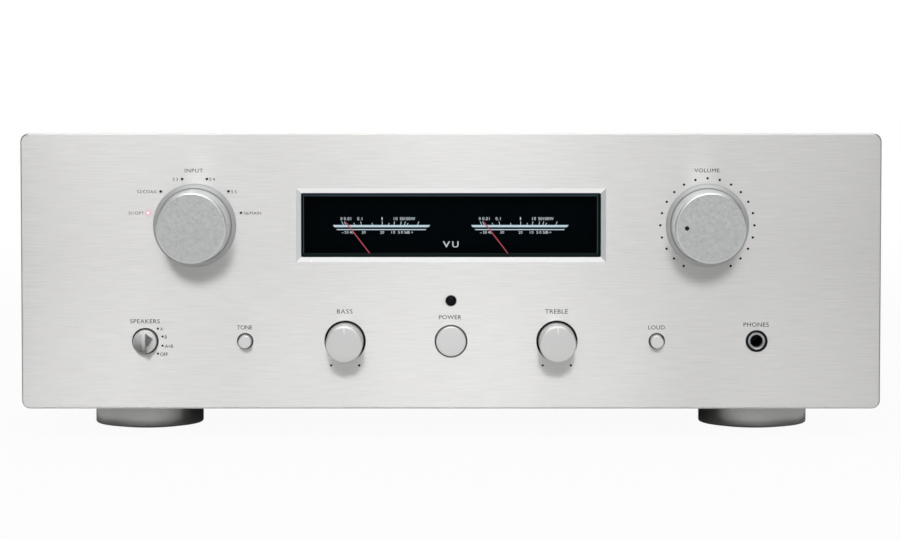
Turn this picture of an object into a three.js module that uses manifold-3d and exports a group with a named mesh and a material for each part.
// Integrated amplifier with two needle meters, built as separate pieces.
// Millimetres: x to the right as seen from the front, y to the back, z up from the floor.
import * as THREE from "three";
import { mergeVertices } from "three/addons/utils/BufferGeometryUtils.js";
import Module from "manifold-3d";

const wasm = await Module();
wasm.setup();

// Front panel and case
const panelWidth = 430;
const panelHeight = 138;
const panelThickness = 10;
const panelCornerRadius = 4.2;
const panelEdgeChamfer = 0.7;
const panelGroundGap = 14.6;
const caseDepth = 330;
const caseSideInset = 4;
const coverDrop = 12.5;
const caseBottomRise = 2.5;
const sheet = 1.5;
const sheetBendRadius = 2.5;
const baseFlangeHeight = 15;

// Gaps between pieces
const seat = 0.2;
const running = 0.4;
const cutOverrun = 1;

// Places of the controls on the front panel, from its middle
const upperRowRise = 23.1;
const lowerRowDrop = 35;
const bigKnobOffset = 128.1;
const toneKnobOffset = 53;
const smallButtonOffset = 103;
const cornerControlOffset = 153;
const eyeDrop = 14.7;

// Big knobs and the rings round them
const bigKnobReach = 24;
const bigKnobBackRadius = 18.5;
const bigKnobFrontRadius = 17.6;
const bigKnobChamfer = 0.5;
const bigKnobGap = 0.6;
const ringOuterRadius = 20.8;
const ringHeight = 3;
const ringRim = 0.5;
const pointerDimpleRadius = 1.1;
const pointerDimpleDepth = 0.5;
const pointerDimpleOffset = 11.9;

// Tone knobs
const toneKnobRadius = 9.2;
const toneKnobReach = 17;
const toneKnobFillet = 1.1;
const toneKnobGap = 1.1;
const pointerGrooveWidth = 0.8;
const pointerGrooveLength = 2.4;
const pointerGrooveDepth = 0.3;

// Speaker selector knob
const selectorRadius = 5.8;
const selectorGap = 0.8;
const selectorReach = 12;
const selectorDiscReach = 4.5;
const selectorTopRadius = 1.2;
const selectorArrowHalfWidth = 3.7;
const selectorArrowLength = 3.8;
const selectorChamfer = 0.4;
const selectorRestDegrees = 75;

// Push buttons
const smallButtonRadius = 3.35;
const smallButtonReach = 5;
const smallButtonGap = 0.7;
const smallButtonTravel = 2;
const powerButtonRadius = 7.55;
const powerButtonReach = 2;
const powerButtonGap = 0.6;
const powerButtonTravel = 1.5;
const buttonFillet = 0.5;
const stemRadius = 1.5;
const stemDepthInSwitch = 5;

// Shafts and the control bodies behind the sub-panel
const shaftRadius = 3;
const bushingRadius = 4.6;
const bigBushingLength = 7;
const panelShaftHoleRadius = 6.5;
const controlDepth = 12;
const shaftDepthInControl = 8;
const potRadius = 8.5;
const encoderWidth = 20;
const volumePotWidth = 26;
const volumePotDepth = 20;
const gearboxWidth = 22;
const gearboxDepth = 8;
const motorRadius = 9.5;
const motorLength = 26;
const selectorSwitchRadius = 13;
const selectorSwitchDepth = 18;
const switchWidth = 10;
const powerSwitchWidth = 15;

// Headphone socket, remote-control eye and source lights
const socketBoreRadius = 3.2;
const socketBarrelRadius = 4.3;
const socketBarrelRecess = 0.5;
const socketNutRadius = 5.35;
const socketNutProud = 0.6;
const socketBoreDepth = 30;
const socketBodyWidth = 16;
const socketBodyDepth = 24;
const eyeRadius = 2.6;
const eyeRecess = 0.5;
const lightCircleRadius = 23.95;
const lightPinRadius = 0.6;
const lightFirstDegrees = -75;
const lightStepDegrees = 30;
const lightCount = 6;
const lightBarWidth = 5;
const lightBarDepth = 3;
const lightBarOverhangDegrees = 5;

// Meter window, housing, dial and movements
const windowWidth = 150;
const windowHeight = 32.2;
const windowBevel = 2.4;
const windowBevelDepth = 1.4;
const windowLip = 3.2;
const lensRecess = 1.7;
const lensEdgeChamfer = 1.2;
const lensFlangeThickness = 2;
const housingSideMargin = 5;
const housingTopMargin = 4;
const housingBottomMargin = 16;
const housingWall = 2;
const housingDepth = 20;
const dialDepth = 9;
const dialThickness = 1;
const meterOffset = 34.7;
const pivotShift = 1.1;
const needlePivotDrop = 24.1;
const needleLength = 31.5;
const needleTail = 4.5;
const needleWidth = 0.5;
const needleThickness = 0.5;
const needleHubRadius = 2.2;
const needleShaftRadius = 1;
const needleRestDegrees = -37.4;
const movementWidth = 30;
const movementHeight = 30;
const movementMagnetRadius = 11;

// Feet
const footSideInset = 58.6;
const footRadius = 27.8;
const frontFootSetback = 60;
const rearFootInset = 45;
const footEdge = 1;
const padRadius = 21;
const padThickness = 3;
const padProud = 1;

// Panel studs, which hold the front panel to the sub-panel
const studRadius = 2;
const studLength = 5;
const studAcrossShares = [-0.465, -0.21, 0.21, 0.465];
const studUpShares = [-0.44, 0.33];

// Vents in the cover and the base
const slotWidth = 3.5;
const slotPitch = 10;
const slotCount = 16;
const slotLength = 48;
const slotInset = 16;
const baseSlotCount = 10;

// Heat sinks and amplifier boards
const sinkWidth = 34;
const sinkLength = 180;
const sinkHeight = 92;
const sinkBack = 6;
const sinkFin = 2;
const sinkFinCount = 14;
const sinkSideGap = 3;
const boardThickness = 1.6;
const boardLift = 8;
const pillarRadius = 2.5;
const pillarInset = 5;
const ampBoardWidth = 62;
const transistorWidth = 16;
const transistorHeight = 20;
const transistorDepth = 5;
const transistorCount = 4;
const smallCapRadius = 6;
const smallCapHeight = 22;
const relayWidth = 16;
const relayDepth = 26;
const relayHeight = 18;

// Mains transformer and its clamp
const coilOuterRadius = 58;
const coilInnerRadius = 17;
const coilHeight = 52;
const coilEdge = 8;
const coilFrontGap = 40;
const clampRadius = 42;
const clampThickness = 2.5;
const clampBoltRadius = 4;
const clampHeadRadius = 7;
const clampHeadHeight = 5;

// Power supply board
const supplyWidth = 140;
const supplyDepth = 84;
const supplyGap = 12;
const reservoirRadius = 15;
const reservoirHeight = 46;
const bridgeWidth = 28;
const bridgeHeight = 10;

// Rear sockets: gaps from the sides of the rear panel, and rises from its foot
const inletSideGap = 25.8;
const inletRise = 46;
const inletFlangeWidth = 31;
const inletFlangeHeight = 40;
const inletFlangeThickness = 2.5;
const inletFlangeMargin = 2;
const inletBodyDepth = 24;
const inletCavityWidth = 24;
const inletCavityHeight = 17;
const inletCavityDepth = 17;
const inletCavityCorner = 4;
const inletCavityRise = 7.5;
const inletPinWidth = 2;
const inletPinHeight = 4;
const inletPinLength = 11;
const inletPinSpacing = 7;
const inletPinOffset = 2;
const fuseDrawerHeight = 9;
const fuseDrawerProud = 1.2;
const plateThickness = 2;
const plateMargin = 9;
const jackBodyDepth = 12;
const jackRadius = 4.15;
const jackBoreRadius = 1.7;
const jackReach = 9;
const jackBoreDepth = 8;
const lineSideGap = 32.3;
const lineRise = 92;
const linePairs = 6;
const linePitch = 20;
const lineRowPitch = 18;
const digitalRise = 40;
const digitalPitch = 24;
const opticalWidth = 9.8;
const opticalReach = 5;
const opticalFlapDepth = 1;
const terminalRise = 52;
const terminalColumns = 4;
const terminalRows = 2;
const terminalPitch = 30;
const terminalRowPitch = 32;
const collarRadius = 7;
const collarLength = 3;
const postRadius = 2.1;
const postLength = 9;
const postTail = 10;
const capRadius = 6.8;
const capFlute = 0.6;
const capFlutes = 10;
const capLength = 13;
const capBoreRadius = 2.6;
const preampMargin = 4;
const chipWidth = 8;
const chipHeight = 3;
const chipCount = 5;

// How finely round pieces are cut
const wheelSides = 48;
const roundSides = 36;
const smallSides = 16;
const pinSides = 10;
const cornerSteps = 6;
const bendSteps = 3;
const filletSteps = 2;
const weldDistance = 1e-4;

// Levels and places that follow from the sizes above
const panelMiddle = panelGroundGap + panelHeight / 2;
const caseBottom = panelGroundGap + caseBottomRise;
const caseHeight = panelHeight - coverDrop - caseBottomRise;
const caseWidth = panelWidth - 2 * caseSideInset;
const innerWidth = caseWidth - 2 * (sheet + seat);
const terminalReach = plateThickness + seat + collarLength + seat + capLength;
const caseFrontPlace = panelThickness + seat;
const totalDepth = bigKnobReach + caseFrontPlace + caseDepth + terminalReach;
const frontFace = bigKnobReach - totalDepth / 2;
const subPanelBack = caseFrontPlace + sheet;
const controlFront = subPanelBack + seat;
const controlBoardFront = controlFront + controlDepth + seat;
const innerFoot = sheet + seat;
const innerTop = caseHeight - sheetBendRadius;
const subPanelBottom = caseBottom + innerFoot - panelMiddle;
const subPanelTop = caseBottom + innerTop - panelMiddle;
const boardLevel = innerFoot + boardLift;
const footOffset = panelWidth / 2 - footSideInset;
const sinkFrontPlace = (caseDepth - inletBodyDepth - sinkLength) / 2;
const coilPlace = coilFrontGap + coilOuterRadius;
const supplyPlace = coilPlace + coilOuterRadius + supplyGap;

// Materials, as seen on the object
const finish = (color, roughness, metalness) =>
  new THREE.MeshStandardMaterial({ color, roughness, metalness });
const brushedSilver = finish(0xd9d9d6, 0.35, 0.9);
const blastedSilver = finish(0xb4b6b6, 0.5, 0.9);
const satinSilver = finish(0xcfd0cd, 0.3, 0.9);
const silverPaint = finish(0xc4c5c3, 0.5, 0.5);
const zincSteel = finish(0xa9acae, 0.4, 0.9);
const darkFoot = finish(0x6f706d, 0.35, 0.7);
const rubber = finish(0x1a1a1a, 0.9, 0);
const blackPlastic = finish(0x141516, 0.5, 0);
const dialBlack = finish(0x07090a, 0.6, 0);
const clearAcrylic = finish(0x16282c, 0.1, 0);
const needleRed = finish(0xc8323c, 0.5, 0);
const gold = finish(0xd0a850, 0.25, 1);
const boardGreen = finish(0x1f5a38, 0.6, 0);
const copper = finish(0x8d5a34, 0.5, 0.5);
const aluminium = finish(0x9a9c9e, 0.5, 0.9);
const lightPipe = finish(0xf2dde0, 0.3, 0);

// Turns a geometry into a closed solid, whichever way its faces point
function solidOf(geometry) {
  const bare = new THREE.BufferGeometry();
  bare.setAttribute("position", geometry.getAttribute("position"));
  bare.setIndex(geometry.getIndex());
  const welded = mergeVertices(bare, weldDistance);
  const corners = welded.getIndex().array;
  const kept = [];
  for (let i = 0; i < corners.length; i += 3) {
    const [a, b, c] = [corners[i], corners[i + 1], corners[i + 2]];
    if (a !== b && b !== c && c !== a) kept.push(a, b, c);
  }
  const vertProperties = welded.getAttribute("position").array;
  const build = (list) =>
    new wasm.Manifold(new wasm.Mesh({ numProp: 3, vertProperties, triVerts: new Uint32Array(list) }));
  const solid = build(kept);
  return solid.volume() > 0 ? solid : build(kept.reverse());
}

// Gives a solid back as a geometry that three.js can draw
function geometryOf(solid) {
  const mesh = solid.getMesh();
  const geometry = new THREE.BufferGeometry();
  geometry.setAttribute("position", new THREE.BufferAttribute(mesh.vertProperties, 3));
  geometry.setIndex(new THREE.BufferAttribute(mesh.triVerts, 1));
  geometry.computeVertexNormals();
  return geometry;
}

// A box with its middle at x, y, z
function block(width, depth, height, x = 0, y = 0, z = 0) {
  return solidOf(new THREE.BoxGeometry(width, depth, height).translate(x, y, z));
}

// A box from a front face at y, standing on z, with its middle at x
function standing(width, depth, height, x, y, z) {
  return block(width, depth, height, x, y + depth / 2, z + height / 2);
}

// A rod that runs back from y
function rodBack(radius, length, x, y, z, sides = roundSides) {
  const rod = new THREE.CylinderGeometry(radius, radius, length, sides);
  return solidOf(rod.translate(x, y + length / 2, z));
}

// A rod that stands up from z
function rodUp(radius, height, x, y, z, sides = smallSides) {
  const rod = new THREE.CylinderGeometry(radius, radius, height, sides);
  return solidOf(rod.rotateX(Math.PI / 2).translate(x, y, z + height / 2));
}

// A turned piece on the y axis, from pairs of radius and y
function turned(outline, sides = roundSides) {
  const points = outline.map(([radius, y]) => new THREE.Vector2(radius, y));
  return solidOf(new THREE.LatheGeometry(points, sides));
}

// A turned piece on the z axis, from pairs of radius and z
function turnedUp(outline, sides = roundSides) {
  const points = outline.map(([radius, z]) => new THREE.Vector2(radius, z));
  return solidOf(new THREE.LatheGeometry(points, sides).rotateX(Math.PI / 2));
}

// A quarter round from the end face at y to the side at the given radius
function filletPoints(radius, y, fillet, inward) {
  const points = [];
  for (let i = 0; i <= filletSteps; i++) {
    const turn = ((i / filletSteps) * Math.PI) / 2;
    points.push([radius - fillet + fillet * Math.sin(turn), y + inward * fillet * (1 - Math.cos(turn))]);
  }
  return points;
}

// The outline of a rectangle with round corners, centred on the origin
function roundedOutline(width, height, radius) {
  const shape = new THREE.Shape();
  const x = width / 2 - radius;
  const y = height / 2 - radius;
  shape.absarc(x, y, radius, 0, Math.PI / 2);
  shape.absarc(-x, y, radius, Math.PI / 2, Math.PI);
  shape.absarc(-x, -y, radius, Math.PI, 1.5 * Math.PI);
  shape.absarc(x, -y, radius, 1.5 * Math.PI, 2 * Math.PI);
  return shape;
}

// A plate in the plane of the front panel, with its front face at y 0 and an edge chamfer
function roundedPlate(width, height, thickness, radius, chamfer) {
  const shape = roundedOutline(width - 2 * chamfer, height - 2 * chamfer, radius - chamfer);
  const plate = new THREE.ExtrudeGeometry(shape, {
    depth: thickness - 2 * chamfer,
    bevelThickness: chamfer,
    bevelSize: chamfer,
    bevelSegments: 1,
    curveSegments: cornerSteps,
  });
  return solidOf(plate.rotateX(Math.PI / 2).translate(0, thickness - chamfer, 0));
}

// A box that tapers from its size at the front to another size at the back
function taperedBlock(frontSize, backSize, depth, y, z) {
  const box = new THREE.BoxGeometry(1, depth, 1);
  const places = box.getAttribute("position");
  for (let i = 0; i < places.count; i++) {
    const [width, height] = places.getY(i) < 0 ? frontSize : backSize;
    places.setXYZ(i, places.getX(i) * width, places.getY(i), places.getZ(i) * height);
  }
  return solidOf(box.translate(0, y + depth / 2, z));
}

// A folded sheet with two side walls, open below when upright is 1 and above when it is -1
function channel(width, length, height, thickness, upright) {
  const shape = new THREE.Shape();
  const half = width / 2;
  const outer = Math.min(sheetBendRadius, height / 2);
  const inner = outer - thickness;
  shape.moveTo(-half, 0);
  shape.lineTo(-half, height - outer);
  shape.absarc(-half + outer, height - outer, outer, Math.PI, Math.PI / 2, true);
  shape.absarc(half - outer, height - outer, outer, Math.PI / 2, 0, true);
  shape.lineTo(half, 0);
  shape.lineTo(half - thickness, 0);
  shape.absarc(half - thickness - inner, height - thickness - inner, inner, 0, Math.PI / 2);
  shape.absarc(-half + thickness + inner, height - thickness - inner, inner, Math.PI / 2, Math.PI);
  shape.lineTo(-half + thickness, 0);
  shape.closePath();
  const folded = new THREE.ExtrudeGeometry(shape, {
    depth: length,
    bevelEnabled: false,
    curveSegments: bendSteps,
  });
  folded.rotateX(Math.PI / 2).translate(0, length, 0);
  if (upright < 0) folded.rotateY(Math.PI).translate(0, 0, height);
  return solidOf(folded);
}

const cutAll = (solid, cutters) => cutters.reduce((left, cutter) => left.subtract(cutter), solid);
const joinAll = (solids) => solids.reduce((whole, piece) => whole.add(piece));

const amplifier = new THREE.Group();

// One named piece, hung in a group at a place
function piece(group, name, solid, material, x = 0, y = 0, z = 0) {
  const mesh = new THREE.Mesh(geometryOf(solid), material);
  mesh.name = name;
  mesh.position.set(x, y, z);
  group.add(mesh);
  return mesh;
}

function groupAt(y, z) {
  const group = new THREE.Group();
  group.position.set(0, y, z);
  amplifier.add(group);
  return group;
}

// The fascia group's origin is on the front face, at the middle of the panel
const fascia = groupAt(frontFace, panelMiddle);
const upperRow = upperRowRise;
const lowerRow = -lowerRowDrop;
const toneHoleRadius = toneKnobRadius + toneKnobGap;
const selectorHoleRadius = selectorRadius + selectorGap;
const smallHoleRadius = smallButtonRadius + smallButtonGap;
const powerHoleRadius = powerButtonRadius + powerButtonGap;
const socketHoleRadius = socketNutRadius + seat;
const eyeHoleRadius = eyeRadius + seat;
const housingWidth = windowWidth + 2 * housingSideMargin;
const housingHeight = windowHeight + housingTopMargin + housingBottomMargin;
const housingMiddle = upperRow + (housingTopMargin - housingBottomMargin) / 2;
const studPlaces = studAcrossShares.flatMap((across) =>
  studUpShares.map((up) => [across * panelWidth, up * panelHeight]),
);
const lightPlaces = Array.from({ length: lightCount }, (_, i) => {
  const turn = THREE.MathUtils.degToRad(lightFirstDegrees + i * lightStepDegrees);
  return [-bigKnobOffset + lightCircleRadius * Math.sin(turn), upperRow + lightCircleRadius * Math.cos(turn)];
});

// Holes through the front panel: x, z, radius and number of sides
const panelHoles = [
  [-bigKnobOffset, upperRow, panelShaftHoleRadius, smallSides],
  [bigKnobOffset, upperRow, panelShaftHoleRadius, smallSides],
  [-toneKnobOffset, lowerRow, toneHoleRadius, roundSides],
  [toneKnobOffset, lowerRow, toneHoleRadius, roundSides],
  [-cornerControlOffset, lowerRow, selectorHoleRadius, roundSides],
  [-smallButtonOffset, lowerRow, smallHoleRadius, roundSides],
  [smallButtonOffset, lowerRow, smallHoleRadius, roundSides],
  [0, lowerRow, powerHoleRadius, roundSides],
  [cornerControlOffset, lowerRow, socketHoleRadius, roundSides],
  [0, -eyeDrop, eyeHoleRadius, smallSides],
  ...lightPlaces.map(([x, z]) => [x, z, lightPinRadius + seat, pinSides]),
];

function frontPanel() {
  const plate = roundedPlate(panelWidth, panelHeight, panelThickness, panelCornerRadius, panelEdgeChamfer);
  const openSize = [windowWidth, windowHeight];
  const bevelDepth = windowBevelDepth + cutOverrun;
  const bevelSpread = (bevelDepth * windowBevel) / windowBevelDepth;
  const bevelSize = [windowWidth + 2 * bevelSpread, windowHeight + 2 * bevelSpread];
  const holes = panelHoles.map(([x, z, radius, sides]) =>
    rodBack(radius, panelThickness + 2 * cutOverrun, x, -cutOverrun, z, sides),
  );
  const pocket = block(
    housingWidth + 2 * running,
    panelThickness,
    housingHeight + 2 * running,
    0,
    windowLip + panelThickness / 2,
    housingMiddle,
  );
  const cutters = [
    block(...[windowWidth, 2 * panelThickness, windowHeight], 0, 0, upperRow),
    taperedBlock(bevelSize, openSize, bevelDepth, -cutOverrun, upperRow),
    pocket,
    ...holes,
  ];
  const studs = studPlaces.map(([x, z]) =>
    rodBack(studRadius, studLength + sheet, x, panelThickness - panelEdgeChamfer, z, pinSides),
  );
  return joinAll([cutAll(plate, cutters), ...studs]);
}

// The steel plate behind the front panel, which carries the controls
function subPanel() {
  const height = subPanelTop - subPanelBottom;
  const middle = (subPanelTop + subPanelBottom) / 2;
  const plate = block(innerWidth, sheet, height, 0, caseFrontPlace + sheet / 2, middle);
  const through = (radius, x, z, sides = smallSides) =>
    rodBack(radius, sheet + 2 * cutOverrun, x, caseFrontPlace - cutOverrun, z, sides);
  const bushings = [
    [-bigKnobOffset, upperRow],
    [bigKnobOffset, upperRow],
    [-toneKnobOffset, lowerRow],
    [toneKnobOffset, lowerRow],
    [-cornerControlOffset, lowerRow],
  ];
  const stems = [
    [-smallButtonOffset, lowerRow],
    [smallButtonOffset, lowerRow],
    [0, lowerRow],
  ];
  return cutAll(plate, [
    block(
      housingWidth + 2 * running,
      2 * panelThickness,
      housingHeight + 2 * running,
      0,
      caseFrontPlace,
      housingMiddle,
    ),
    ...bushings.map(([x, z]) => through(bushingRadius + seat, x, z)),
    ...stems.map(([x, z]) => through(stemRadius + running, x, z)),
    through(socketBarrelRadius + seat, cornerControlOffset, lowerRow),
    through(eyeRadius - seat, 0, -eyeDrop),
    ...studPlaces.map(([x, z]) => through(studRadius + running, x, z, pinSides)),
    ...lightPlaces.map(([x, z]) => through(lightPinRadius + seat, x, z, pinSides)),
  ]);
}

piece(fascia, "front_panel", frontPanel(), brushedSilver);
piece(fascia, "sub_panel", subPanel(), zincSteel);

// The knob ring sits on the panel's face and leaves a running gap round the knob
function knobRing() {
  const inner = bigKnobBackRadius + running;
  return turned(
    [
      [inner, -seat],
      [ringOuterRadius, -seat],
      [inner + ringRim, -ringHeight],
      [inner, -ringHeight],
      [inner, -seat],
    ],
    wheelSides,
  );
}

// A big knob with its shaft, on its own axis
function bigKnob() {
  const shaftEnd = controlFront + shaftDepthInControl;
  return turned(
    [
      [0, -bigKnobReach],
      [bigKnobFrontRadius - bigKnobChamfer, -bigKnobReach],
      [bigKnobFrontRadius, bigKnobChamfer - bigKnobReach],
      [bigKnobBackRadius, -bigKnobGap],
      [shaftRadius, -bigKnobGap],
      [shaftRadius, shaftEnd],
      [0, shaftEnd],
    ],
    wheelSides,
  );
}

function volumeKnob() {
  const depth = pointerDimpleDepth + cutOverrun;
  const dimple = rodBack(
    pointerDimpleRadius,
    depth,
    -pointerDimpleOffset,
    -bigKnobReach - cutOverrun,
    0,
    smallSides,
  );
  return bigKnob().subtract(dimple);
}

// A tone knob stands in its hole and has a short groove as its pointer
function toneKnob() {
  const back = panelThickness - toneKnobGap;
  const shaftEnd = controlFront + shaftDepthInControl;
  const knob = turned([
    [0, -toneKnobReach],
    ...filletPoints(toneKnobRadius, -toneKnobReach, toneKnobFillet, 1),
    [toneKnobRadius, back],
    [shaftRadius, back],
    [shaftRadius, shaftEnd],
    [0, shaftEnd],
  ]);
  const groove = block(
    pointerGrooveWidth,
    2 * pointerGrooveDepth,
    pointerGrooveLength,
    0,
    -toneKnobReach,
    toneKnobRadius - toneKnobFillet - pointerGrooveLength / 2,
  );
  return knob.subtract(groove);
}

// The selector knob: a disc that carries half a cone and, facing up, a sloping arrow
function selectorKnob() {
  const back = panelThickness - toneKnobGap;
  const shaftEnd = controlFront + shaftDepthInControl;
  const disc = turned([
    [0, -selectorDiscReach],
    [selectorRadius - selectorChamfer, -selectorDiscReach],
    [selectorRadius, selectorChamfer - selectorDiscReach],
    [selectorRadius, back],
    [shaftRadius, back],
    [shaftRadius, shaftEnd],
    [0, shaftEnd],
  ]);
  const cone = turned([
    [0, -selectorReach],
    [selectorTopRadius, -selectorReach],
    [selectorRadius, selectorChamfer - selectorDiscReach],
    [0, selectorChamfer - selectorDiscReach],
  ]);
  const wide = 2 * selectorRadius + 2 * cutOverrun;
  const upperHalf = standing(wide, 2 * selectorReach, wide, 0, -1.5 * selectorReach, 0);
  return joinAll([cone.subtract(upperHalf), disc, selectorArrow()]);
}

// The arrow is wide at the cone's flat back and slopes down to its tip on the disc
function selectorArrow() {
  const foot = selectorChamfer - selectorDiscReach;
  const side = new THREE.Shape();
  side.moveTo(-selectorTopRadius, -selectorReach);
  side.lineTo(0, -selectorReach);
  side.lineTo(selectorArrowLength, foot);
  side.lineTo(-selectorTopRadius, foot);
  side.closePath();
  const bar = new THREE.ExtrudeGeometry(side, { depth: 2 * selectorArrowHalfWidth, bevelEnabled: false });
  bar.rotateY(-Math.PI / 2).translate(selectorArrowHalfWidth, 0, 0);
  const front = new THREE.Shape();
  front.moveTo(-selectorArrowHalfWidth, -selectorTopRadius);
  front.lineTo(selectorArrowHalfWidth, -selectorTopRadius);
  front.lineTo(selectorArrowHalfWidth, 0);
  front.lineTo(0, selectorArrowLength);
  front.lineTo(-selectorArrowHalfWidth, 0);
  front.closePath();
  const plan = new THREE.ExtrudeGeometry(front, { depth: 2 * selectorReach, bevelEnabled: false });
  plan.rotateX(Math.PI / 2);
  return solidOf(bar).intersect(solidOf(plan));
}

piece(fascia, "input_knob_ring", knobRing(), blastedSilver, -bigKnobOffset, 0, upperRow);
piece(fascia, "volume_knob_ring", knobRing(), blastedSilver, bigKnobOffset, 0, upperRow);
piece(fascia, "input_knob", bigKnob(), blastedSilver, -bigKnobOffset, 0, upperRow);
piece(fascia, "volume_knob", volumeKnob(), blastedSilver, bigKnobOffset, 0, upperRow);
piece(fascia, "bass_knob", toneKnob(), satinSilver, -toneKnobOffset, 0, lowerRow);
piece(fascia, "treble_knob", toneKnob(), satinSilver, toneKnobOffset, 0, lowerRow);
const selector = piece(
  fascia,
  "speaker_knob",
  selectorKnob(),
  satinSilver,
  -cornerControlOffset,
  0,
  lowerRow,
);
selector.rotation.y = THREE.MathUtils.degToRad(selectorRestDegrees);

// A push button: cap in the panel's hole and a stem that runs into its switch
function pushButton(radius, reach, travel) {
  const back = panelThickness - travel - running;
  const stemEnd = controlFront + stemDepthInSwitch;
  return turned([
    [0, -reach],
    ...filletPoints(radius, -reach, buttonFillet, 1),
    [radius, back],
    [stemRadius, back],
    [stemRadius, stemEnd],
    [0, stemEnd],
  ]);
}

const smallButton = () => pushButton(smallButtonRadius, smallButtonReach, smallButtonTravel);
const powerButton = () => pushButton(powerButtonRadius, powerButtonReach, powerButtonTravel);
piece(fascia, "tone_button", smallButton(), satinSilver, -smallButtonOffset, 0, lowerRow);
piece(fascia, "loudness_button", smallButton(), satinSilver, smallButtonOffset, 0, lowerRow);
piece(fascia, "power_button", powerButton(), satinSilver, 0, 0, lowerRow);

// The bore in a control body that a shaft or a stem runs in
function boreFor(radius, depth) {
  return rodBack(radius + running, depth + running + sheet + cutOverrun, 0, -sheet - cutOverrun, 0, smallSides);
}

// A control body behind the sub-panel, with a bushing that passes through it
function boredControl(body, bushingLength) {
  const bushing = rodBack(bushingRadius, bushingLength + cutOverrun, 0, -bushingLength, 0, smallSides);
  const boreLength = bushingLength + shaftDepthInControl + running + cutOverrun;
  const bore = rodBack(shaftRadius + running, boreLength, 0, -bushingLength - cutOverrun, 0, smallSides);
  return joinAll([body, bushing]).subtract(bore);
}

const panelBushing = bigBushingLength + sheet + seat;
const sheetBushing = sheet + seat;
const encoderBody = block(encoderWidth, controlDepth, encoderWidth, 0, controlDepth / 2, 0);
const potBody = rodBack(potRadius, controlDepth, 0, 0, 0, smallSides);
const selectorBody = rodBack(selectorSwitchRadius, selectorSwitchDepth, 0, 0, 0, smallSides);
const volumeBody = joinAll([
  block(volumePotWidth, volumePotDepth, volumePotWidth, 0, volumePotDepth / 2, 0),
  block(gearboxWidth, gearboxDepth, gearboxWidth, 0, volumePotDepth + gearboxDepth / 2, 0),
  rodBack(motorRadius, motorLength, 0, volumePotDepth + gearboxDepth, 0, smallSides),
]);
const potAt = (name, body, length, x, z) =>
  piece(fascia, name, boredControl(body, length), zincSteel, x, controlFront, z);
potAt("input_encoder", encoderBody, panelBushing, -bigKnobOffset, upperRow);
potAt("volume_control", volumeBody, panelBushing, bigKnobOffset, upperRow);
potAt("bass_control", potBody, sheetBushing, -toneKnobOffset, lowerRow);
potAt("treble_control", potBody, sheetBushing, toneKnobOffset, lowerRow);
potAt("speaker_switch", selectorBody, sheetBushing, -cornerControlOffset, lowerRow);

// The power switch and the board that holds it, the tone controls and two more switches
function switchBody(width) {
  const body = block(width, controlDepth, width, 0, controlDepth / 2, 0);
  return body.subtract(boreFor(stemRadius, stemDepthInSwitch + smallButtonTravel));
}

function controlBoard() {
  const width = 2 * (smallButtonOffset + switchWidth);
  const height = 2 * (potRadius + pillarInset);
  const sunk = boardThickness / 2;
  const front = -controlDepth - seat;
  const board = block(width, boardThickness, height, 0, sunk, 0);
  const stemRoom = stemDepthInSwitch + smallButtonTravel + running;
  const switches = [-smallButtonOffset, smallButtonOffset].map((x) => {
    const body = standing(switchWidth, sunk - front, switchWidth, x, front, -switchWidth / 2);
    return body.subtract(
      rodBack(stemRadius + running, stemRoom + cutOverrun, x, front - cutOverrun, 0, smallSides),
    );
  });
  const chipOffset = (toneKnobOffset + smallButtonOffset) / 2;
  const chips = [-chipOffset, chipOffset].map((x) =>
    standing(2 * chipWidth, sunk + chipHeight, chipWidth, x, sunk, -chipWidth / 2),
  );
  return joinAll([board, ...switches, ...chips]);
}

piece(fascia, "power_switch", switchBody(powerSwitchWidth), blackPlastic, 0, controlFront, lowerRow);
piece(fascia, "control_board", controlBoard(), boardGreen, 0, controlBoardFront, lowerRow);

// Headphone socket and its round nut
function phonesSocket() {
  const body = standing(
    socketBodyWidth,
    socketBodyDepth,
    socketBodyWidth,
    0,
    controlFront,
    -socketBodyWidth / 2,
  );
  const barrel = rodBack(
    socketBarrelRadius,
    controlFront - socketBarrelRecess + cutOverrun,
    0,
    socketBarrelRecess,
    0,
  );
  const bore = rodBack(socketBoreRadius, socketBoreDepth + cutOverrun, 0, -cutOverrun, 0);
  return joinAll([body, barrel]).subtract(bore);
}

function socketNut() {
  const inner = socketBarrelRadius + seat;
  const edge = socketNutProud / 2;
  return turned([
    [inner, -socketNutProud],
    [socketNutRadius - edge, -socketNutProud],
    [socketNutRadius, edge - socketNutProud],
    [socketNutRadius, panelThickness],
    [inner, panelThickness],
    [inner, -socketNutProud],
  ]);
}

piece(fascia, "phones_socket", phonesSocket(), zincSteel, cornerControlOffset, 0, lowerRow);
piece(fascia, "phones_nut", socketNut(), blackPlastic, cornerControlOffset, 0, lowerRow);

// Lens of the remote-control eye, slightly domed at the front
const eyeLens = turned(
  [
    [0, eyeRecess / 2],
    [eyeRadius / 2, eyeRecess / 2 + eyeRecess / 8],
    [eyeRadius, eyeRecess],
    [eyeRadius, panelThickness],
    [0, panelThickness],
  ],
  smallSides,
);
piece(fascia, "remote_eye_lens", eyeLens, blackPlastic, 0, 0, -eyeDrop);

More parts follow.
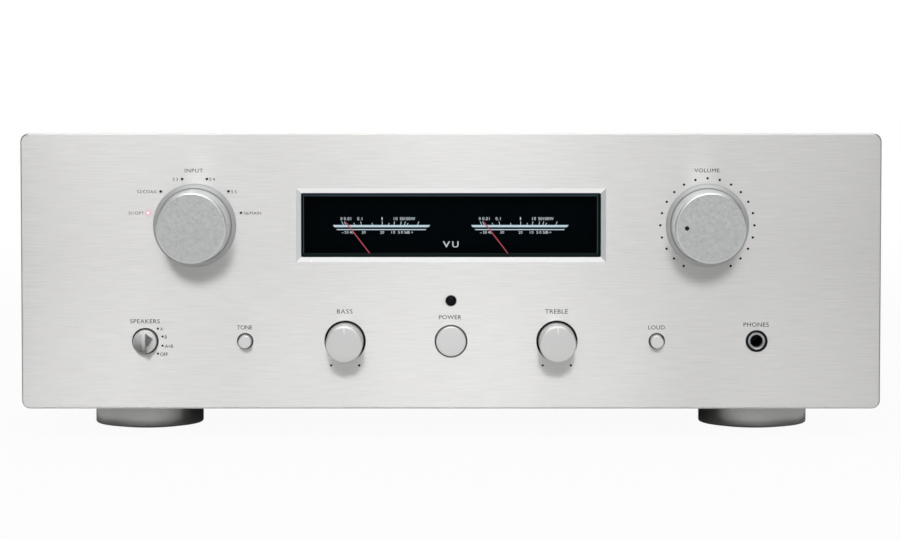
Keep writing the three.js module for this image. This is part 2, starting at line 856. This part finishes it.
// One clear moulding carries light from a board to all the source holes
function lightGuide() {
  const bar = new THREE.Shape();
  const spread = lightFirstDegrees - lightBarOverhangDegrees;
  const from = THREE.MathUtils.degToRad(90 + spread);
  const to = THREE.MathUtils.degToRad(90 - spread);
  bar.absarc(0, 0, lightCircleRadius + lightBarWidth / 2, from, to);
  bar.absarc(0, 0, lightCircleRadius - lightBarWidth / 2, to, from, true);
  bar.closePath();
  const arc = new THREE.ExtrudeGeometry(bar, {
    depth: lightBarDepth,
    bevelEnabled: false,
    curveSegments: roundSides / 2,
  });
  arc.rotateX(Math.PI / 2).translate(-bigKnobOffset, controlFront + lightBarDepth, upperRow);
  const pins = lightPlaces.map(([x, z]) => rodBack(lightPinRadius, controlFront + cutOverrun, x, 0, z, pinSides));
  return joinAll([solidOf(arc), ...pins]);
}

piece(fascia, "source_light_guide", lightGuide(), lightPipe);

// Meter assembly behind the window
const flangeFront = windowLip + seat;
const housingFront = flangeFront + lensFlangeThickness + seat;
const housingBack = housingFront + housingDepth;
const housingInnerBack = housingBack - housingWall;
const dialBack = dialDepth + dialThickness;
const pivotLevel = upperRow - needlePivotDrop;

function windowLens() {
  const boss = [windowWidth - 2 * seat, windowHeight - 2 * seat];
  const face = boss.map((length) => length - 2 * lensEdgeChamfer);
  const chamferDepth = (2 * lensEdgeChamfer) / 3;
  const bossFront = lensRecess + chamferDepth;
  return joinAll([
    taperedBlock(face, boss, chamferDepth, lensRecess, upperRow),
    block(boss[0], flangeFront - bossFront, boss[1], 0, (flangeFront + bossFront) / 2, upperRow),
    block(
      housingWidth,
      lensFlangeThickness,
      housingHeight,
      0,
      flangeFront + lensFlangeThickness / 2,
      housingMiddle,
    ),
  ]);
}

function meterHousing() {
  const outer = block(
    housingWidth,
    housingDepth,
    housingHeight,
    0,
    housingFront + housingDepth / 2,
    housingMiddle,
  );
  const hollow = block(
    housingWidth - 2 * housingWall,
    housingDepth,
    housingHeight - 2 * housingWall,
    0,
    housingFront + housingDepth / 2 - housingWall,
    housingMiddle,
  );
  return outer.subtract(hollow);
}

function meterDial() {
  const margin = 2 * (housingWall + seat);
  const plate = block(
    housingWidth - margin,
    dialThickness,
    housingHeight - margin,
    0,
    dialDepth + dialThickness / 2,
    housingMiddle,
  );
  const holes = [pivotShift - meterOffset, pivotShift + meterOffset].map((x) =>
    rodBack(
      needleShaftRadius + running,
      dialThickness + 2 * cutOverrun,
      x,
      dialDepth - cutOverrun,
      pivotLevel,
      pinSides,
    ),
  );
  return cutAll(plate, holes);
}

// A moving-coil meter body that fills the room between the dial and the housing's back
function movement() {
  const depth = housingInnerBack - dialBack - 2 * seat;
  const foot = housingMiddle - housingHeight / 2 + housingWall + seat - pivotLevel;
  const half = depth / 2;
  const frame = standing(movementWidth, depth, movementHeight, 0, 0, foot);
  const magnetRoom = rodBack(movementMagnetRadius, half, 0, half, foot + movementHeight / 2, smallSides);
  const magnet = rodBack(
    movementMagnetRadius - sheet,
    depth,
    0,
    0,
    foot + movementHeight / 2,
    smallSides,
  );
  const bore = rodBack(needleShaftRadius + running, half + cutOverrun, 0, -cutOverrun, 0, pinSides);
  return cutAll(joinAll([frame.subtract(magnetRoom), magnet]), [bore]);
}

// A needle that points up from its pivot, with a balance tail and its shaft
function needle() {
  const lowest = -needleTail;
  const plane = dialDepth - seat - needleThickness;
  const blade = block(
    needleWidth,
    needleThickness,
    needleLength + needleTail,
    0,
    plane,
    lowest + (needleLength + needleTail) / 2,
  );
  const hub = rodBack(needleHubRadius, needleThickness, 0, plane - needleThickness / 2, 0, smallSides);
  const shaftEnd = dialBack + (housingInnerBack - dialBack) / 2 - running - seat;
  const shaft = rodBack(needleShaftRadius, shaftEnd - plane, 0, plane, 0, pinSides);
  return joinAll([blade, hub, shaft]);
}

piece(fascia, "window_lens", windowLens(), clearAcrylic);
piece(fascia, "meter_housing", meterHousing(), blackPlastic);
piece(fascia, "meter_dial", meterDial(), dialBlack);
for (const [side, x] of [
  ["left", pivotShift - meterOffset],
  ["right", pivotShift + meterOffset],
]) {
  piece(fascia, `${side}_movement`, movement(), zincSteel, x, dialBack + seat, pivotLevel);
  const pointer = piece(fascia, `${side}_needle`, needle(), needleRed, x, 0, pivotLevel);
  pointer.rotation.y = THREE.MathUtils.degToRad(needleRestDegrees);
}

// The case group's origin is under the case, at its front edge
const casing = groupAt(frontFace + caseFrontPlace, caseBottom);
const sinkPlace = innerWidth / 2 - sheet - sinkSideGap - sinkWidth / 2;
const ventPlace = caseWidth / 2 - slotInset - slotLength / 2;

function slotRow(count, x, z, depth) {
  const middle = sinkFrontPlace + sinkLength / 2;
  return Array.from({ length: count }, (_, i) =>
    block(slotLength, slotWidth, depth, x, middle + (i - (count - 1) / 2) * slotPitch, z),
  );
}

function topCover() {
  const shell = channel(caseWidth, caseDepth, caseHeight, sheet, 1);
  const slots = [-ventPlace, ventPlace].flatMap((x) => slotRow(slotCount, x, caseHeight, 4 * sheet));
  return cutAll(shell, slots);
}

const frontFootPlace = frontFootSetback - caseFrontPlace;
const rearFootPlace = caseDepth - rearFootInset;

function basePan() {
  const width = innerWidth;
  const pan = channel(width, caseDepth, baseFlangeHeight, sheet, -1);
  const endCut = sheet + 2 * seat;
  const trims = [0, caseDepth].map((y) =>
    block(width + 2 * cutOverrun, 2 * endCut, 2 * baseFlangeHeight, 0, y, baseFlangeHeight + sheet),
  );
  const slots = [-ventPlace, ventPlace].flatMap((x) => slotRow(baseSlotCount, x, 0, 4 * sheet));
  const screwHoles = [-footOffset, footOffset].flatMap((x) =>
    [frontFootPlace, rearFootPlace].map((y) => rodUp(studRadius, 2 * cutOverrun + sheet, x, y, -cutOverrun)),
  );
  return cutAll(pan, [...trims, ...slots, ...screwHoles]);
}

piece(casing, "top_cover", topCover(), silverPaint);
piece(casing, "base_pan", basePan(), silverPaint);

// Each foot screws to the base and holds a rubber pad in its underside
function footBody() {
  const top = caseBottom - seat;
  const recess = padThickness;
  return turnedUp([
    [0, recess + seat],
    [padRadius + seat, recess + seat],
    [padRadius + seat, padProud],
    ...filletPoints(footRadius, padProud, footEdge, 1),
    [footRadius, top],
    [0, top],
  ]);
}

function footPad() {
  return turnedUp([
    [0, 0],
    [padRadius - footEdge / 2, 0],
    [padRadius, footEdge / 2],
    [padRadius, padThickness],
    [0, padThickness],
  ]);
}

for (const [end, y] of [
  ["front", frontFace + frontFootSetback],
  ["rear", frontFace + caseFrontPlace + rearFootPlace],
]) {
  for (const [side, x] of [
    ["left", -footOffset],
    ["right", footOffset],
  ]) {
    piece(amplifier, `foot_${end}_${side}`, footBody(), darkFoot, x, y, 0);
    piece(amplifier, `foot_pad_${end}_${side}`, footPad(), rubber, x, y, 0);
  }
}

// A finned heat sink, with its flat back towards the middle of the case
function heatSink(side) {
  const back = standing(sinkBack, sinkLength, sinkHeight, (side * (sinkBack - sinkWidth)) / 2, 0, 0);
  const pitch = (sinkLength - sinkFin) / (sinkFinCount - 1);
  const fins = Array.from({ length: sinkFinCount }, (_, i) =>
    standing(sinkWidth, sinkFin, sinkHeight, 0, i * pitch, 0),
  );
  return joinAll([back, ...fins]);
}

// Four pillars under a board, at its corners
function pillars(width, depth) {
  const x = width / 2 - pillarInset;
  const y = depth / 2 - pillarInset;
  return [-x, x].flatMap((px) =>
    [-y, y].map((py) => rodUp(pillarRadius, boardLift + boardThickness / 2, px, py, -boardLift, pinSides)),
  );
}

// An amplifier board lies beside its heat sink and stands its transistors against it
function ampBoard(side) {
  const board = standing(ampBoardWidth, sinkLength, boardThickness, 0, -sinkLength / 2, 0);
  const edge = (side * (ampBoardWidth - transistorDepth)) / 2;
  const spread = (i, count) => (sinkLength * (i + 0.5)) / count - sinkLength / 2;
  const transistors = Array.from({ length: transistorCount }, (_, i) =>
    block(
      transistorDepth,
      transistorWidth,
      transistorHeight + boardThickness,
      edge,
      spread(i, transistorCount),
      (transistorHeight + boardThickness) / 2,
    ),
  );
  const capCount = transistorCount - 1;
  const caps = Array.from({ length: capCount }, (_, i) =>
    rodUp(smallCapRadius, smallCapHeight, 0, spread(i, capCount), 0, pinSides),
  );
  const relay = standing(
    relayWidth,
    relayDepth,
    relayHeight,
    -edge / 2,
    (sinkLength - relayDepth) / 2 - relayDepth,
    0,
  );
  return joinAll([board, ...transistors, ...caps, relay, ...pillars(ampBoardWidth, sinkLength)]);
}

const ampBoardPlace = sinkPlace - sinkWidth / 2 - ampBoardWidth / 2 - seat;
for (const [name, side] of [
  ["left", -1],
  ["right", 1],
]) {
  const sinkX = side * sinkPlace;
  const boardX = side * ampBoardPlace;
  const boardY = sinkFrontPlace + sinkLength / 2;
  piece(casing, `${name}_heat_sink`, heatSink(side), aluminium, sinkX, sinkFrontPlace, innerFoot);
  piece(casing, `${name}_amplifier_board`, ampBoard(side), boardGreen, boardX, boardY, boardLevel);
}

// Ring-shaped mains transformer, held down by a dished washer and a bolt
function transformerCoil() {
  return turnedUp([
    [coilInnerRadius, coilEdge],
    [coilInnerRadius + coilEdge, 0],
    [coilOuterRadius - coilEdge, 0],
    [coilOuterRadius, coilEdge],
    [coilOuterRadius, coilHeight - coilEdge],
    [coilOuterRadius - coilEdge, coilHeight],
    [coilInnerRadius + coilEdge, coilHeight],
    [coilInnerRadius, coilHeight - coilEdge],
    [coilInnerRadius, coilEdge],
  ]);
}

function transformerClamp() {
  const top = coilHeight + seat + clampThickness;
  return turnedUp(
    [
      [0, 0],
      [clampBoltRadius, 0],
      [clampBoltRadius, top - clampThickness],
      [clampRadius, top - clampThickness],
      [clampRadius, top],
      [clampHeadRadius, top],
      [clampHeadRadius, top + clampHeadHeight],
      [0, top + clampHeadHeight],
    ],
    roundSides,
  );
}

piece(casing, "mains_transformer", transformerCoil(), copper, 0, coilPlace, innerFoot);
piece(casing, "transformer_clamp", transformerClamp(), zincSteel, 0, coilPlace, innerFoot);

// Power supply board with its reservoir capacitors and bridge rectifier
function supplyBoard() {
  const board = standing(supplyWidth, supplyDepth, boardThickness, 0, -supplyDepth / 2, 0);
  const x = supplyWidth / 2 - pillarInset - reservoirRadius;
  const y = supplyDepth / 2 - reservoirRadius - pillarInset;
  const cans = [-x, x].flatMap((px) =>
    [-y, y].map((py) => rodUp(reservoirRadius, reservoirHeight, px, py, 0, smallSides)),
  );
  const bridge = standing(bridgeWidth, bridgeWidth, bridgeHeight, 0, -bridgeWidth / 2, 0);
  return joinAll([board, ...cans, bridge, ...pillars(supplyWidth, supplyDepth)]);
}

const supplyY = supplyPlace + supplyDepth / 2;
piece(casing, "power_supply_board", supplyBoard(), boardGreen, 0, supplyY, boardLevel);

// Rear sockets: each block has a plate outside the rear panel and a body that passes through it
const rear = groupAt(frontFace + caseFrontPlace + caseDepth, caseBottom);
const lineWidth = (linePairs - 1) * linePitch + 2 * plateMargin;
const lineHeight = lineRowPitch + 2 * plateMargin;
const digitalWidth = digitalPitch + 2 * plateMargin;
const digitalHeight = 2 * plateMargin;
const terminalWidth = (terminalColumns - 1) * terminalPitch + 2 * plateMargin;
const terminalHeight = (terminalRows - 1) * terminalRowPitch + 2 * plateMargin;
const bodyInset = plateMargin / 2;
const inletPlace = inletSideGap + inletFlangeWidth / 2 - innerWidth / 2;
const linePlace = innerWidth / 2 - lineSideGap - lineWidth / 2;
const digitalPlace = linePlace + (lineWidth - digitalWidth) / 2;
const terminalPlace = (inletPlace + inletFlangeWidth / 2 + linePlace - lineWidth / 2) / 2;
const inletBodyWidth = inletFlangeWidth - 2 * inletFlangeMargin;
const inletBodyHeight = inletFlangeHeight - 2 * inletFlangeMargin;

// Places and cut-outs of the four blocks: x, z, width and height of the body
const rearCuts = [
  [inletPlace, inletRise, inletBodyWidth, inletBodyHeight],
  [linePlace, lineRise, lineWidth - 2 * bodyInset, lineHeight - 2 * bodyInset],
  [digitalPlace, digitalRise, digitalWidth - 2 * bodyInset, digitalHeight - 2 * bodyInset],
  [terminalPlace, terminalRise, terminalWidth - 2 * bodyInset, terminalHeight - 2 * bodyInset],
];

function rearPanel() {
  const plate = standing(innerWidth, sheet, innerTop - innerFoot, 0, -sheet, innerFoot);
  const cuts = rearCuts.map(([x, z, width, bodyHeight]) =>
    block(width + 2 * running, 4 * sheet, bodyHeight + 2 * running, x, 0, z),
  );
  return cutAll(plate, cuts);
}

piece(rear, "rear_panel", rearPanel(), silverPaint);

// A socket block: plate against the panel's outside and body through the cut-out
function socketBlock(width, height, thickness, inset, bodyDepth) {
  const plate = block(width, thickness, height, 0, seat + thickness / 2, 0);
  const body = block(
    width - 2 * inset,
    bodyDepth + seat + thickness / 2,
    height - 2 * inset,
    0,
    (seat + thickness / 2 - bodyDepth) / 2,
    0,
  );
  return plate.add(body);
}

// The socket for the mains lead: a cavity with three pins over a fuse drawer
function mainsInlet() {
  const shell = socketBlock(
    inletFlangeWidth,
    inletFlangeHeight,
    inletFlangeThickness,
    inletFlangeMargin,
    inletBodyDepth,
  );
  const face = seat + inletFlangeThickness;
  const floor = face - inletCavityDepth;
  const half = inletCavityWidth / 2;
  const rise = inletCavityHeight / 2;
  const outline = new THREE.Shape();
  outline.moveTo(-half, -rise);
  outline.lineTo(half, -rise);
  outline.lineTo(half, rise - inletCavityCorner);
  outline.lineTo(half - inletCavityCorner, rise);
  outline.lineTo(inletCavityCorner - half, rise);
  outline.lineTo(-half, rise - inletCavityCorner);
  outline.closePath();
  const cavity = new THREE.ExtrudeGeometry(outline, {
    depth: inletCavityDepth + cutOverrun,
    bevelEnabled: false,
  });
  cavity.rotateX(Math.PI / 2).translate(0, face + cutOverrun, inletCavityRise);
  const pinMiddle = floor + inletPinLength / 2 - cutOverrun / 2;
  const pins = [-1, 0, 1].map((place) =>
    block(
      inletPinWidth,
      inletPinLength + cutOverrun,
      inletPinHeight,
      place * inletPinSpacing,
      pinMiddle,
      inletCavityRise + (place === 0 ? inletPinOffset : -inletPinOffset),
    ),
  );
  const drawer = block(
    inletCavityWidth,
    2 * fuseDrawerProud,
    fuseDrawerHeight,
    0,
    face,
    -inletFlangeHeight / 2 + inletFlangeMargin + fuseDrawerHeight / 2,
  );
  return joinAll([shell.subtract(solidOf(cavity)), ...pins, drawer]);
}

// One coaxial socket that stands out of a plate at x, z
function coaxialJack(x, z) {
  return rodBack(jackRadius, jackReach + cutOverrun / 2, x, seat + plateThickness - cutOverrun / 2, z, smallSides);
}

function coaxialBore(x, z) {
  const face = seat + plateThickness + jackReach;
  return rodBack(jackBoreRadius, jackBoreDepth + cutOverrun, x, face - jackBoreDepth, z, pinSides);
}

// The line sockets stand on the preamplifier board, which they hold upright
function lineBoard() {
  const places = Array.from({ length: linePairs }, (_, i) => (i - (linePairs - 1) / 2) * linePitch);
  const grid = places.flatMap((x) => [-lineRowPitch / 2, lineRowPitch / 2].map((z) => [x, z]));
  const plate = socketBlock(lineWidth, lineHeight, plateThickness, bodyInset, jackBodyDepth);
  const width = lineWidth + 2 * preampMargin;
  const height = lineHeight + 2 * preampMargin;
  const boardBack = -jackBodyDepth - boardThickness;
  const sunk = boardThickness / 2;
  const board = standing(width, boardThickness + sunk, height, 0, boardBack, -height / 2);
  const chips = Array.from({ length: chipCount }, (_, i) =>
    standing(
      chipWidth,
      chipHeight + sunk,
      2 * chipWidth,
      (width * (i + 0.5)) / chipCount - width / 2,
      boardBack - chipHeight,
      -chipWidth,
    ),
  );
  const jacks = grid.map(([x, z]) => coaxialJack(x, z));
  const bores = grid.map(([x, z]) => coaxialBore(x, z));
  return cutAll(joinAll([plate, board, ...chips, ...jacks]), bores);
}

function digitalSockets() {
  const plate = socketBlock(digitalWidth, digitalHeight, plateThickness, bodyInset, jackBodyDepth);
  const x = digitalPitch / 2;
  const face = seat + plateThickness;
  const optical = block(opticalWidth, opticalReach, opticalWidth, -x, face + opticalReach / 2, 0);
  const flap = block(
    opticalWidth - 2 * opticalFlapDepth,
    2 * opticalFlapDepth,
    opticalWidth - 2 * opticalFlapDepth,
    -x,
    face + opticalReach,
    0,
  );
  const opticalShell = optical.subtract(flap);
  return joinAll([plate, opticalShell, coaxialJack(x, 0)]).subtract(coaxialBore(x, 0));
}

// Places of the speaker terminals on their block
const terminalPlaces = Array.from({ length: terminalColumns }, (_, i) =>
  Array.from({ length: terminalRows }, (_, j) => [
    (i - (terminalColumns - 1) / 2) * terminalPitch,
    (j - (terminalRows - 1) / 2) * terminalRowPitch,
  ]),
).flat();

function speakerTerminals() {
  const block = socketBlock(terminalWidth, terminalHeight, plateThickness, bodyInset, jackBodyDepth);
  const face = seat + plateThickness;
  const posts = terminalPlaces.flatMap(([x, z]) => [
    rodBack(collarRadius, collarLength + cutOverrun / 2, x, face - cutOverrun / 2, z, smallSides),
    rodBack(postRadius, collarLength + postLength, x, face, z, pinSides),
    rodBack(postRadius, postTail, x, -jackBodyDepth - postTail / 2, z, pinSides),
  ]);
  return joinAll([block, ...posts]);
}

// A fluted screw cap for a speaker terminal, open at its end for a plug
function terminalCap() {
  const shape = new THREE.Shape();
  const steps = 2 * capFlutes;
  for (let i = 0; i < steps; i++) {
    const turn = (2 * Math.PI * i) / steps;
    const radius = capRadius - (i % 2 === 0 ? capFlute : 0);
    shape[i ? "lineTo" : "moveTo"](radius * Math.cos(turn), radius * Math.sin(turn));
  }
  shape.closePath();
  const cap = new THREE.ExtrudeGeometry(shape, { depth: capLength, bevelEnabled: false });
  const bore = rodBack(capBoreRadius, capLength + 2 * cutOverrun, 0, -cutOverrun, 0, smallSides);
  return solidOf(cap.rotateX(Math.PI / 2).translate(0, capLength, 0)).subtract(bore);
}

const terminals = speakerTerminals();
piece(rear, "mains_inlet", mainsInlet(), blackPlastic, inletPlace, 0, inletRise);
piece(rear, "line_input_board", lineBoard(), blackPlastic, linePlace, 0, lineRise);
piece(rear, "digital_sockets", digitalSockets(), blackPlastic, digitalPlace, 0, digitalRise);
piece(rear, "speaker_terminals", terminals, blackPlastic, terminalPlace, 0, terminalRise);
terminalPlaces.forEach(([x, z], i) => {
  const y = seat + plateThickness + collarLength + seat;
  piece(rear, `terminal_cap_${i + 1}`, terminalCap(), gold, terminalPlace + x, y, terminalRise + z);
});

export default amplifier;
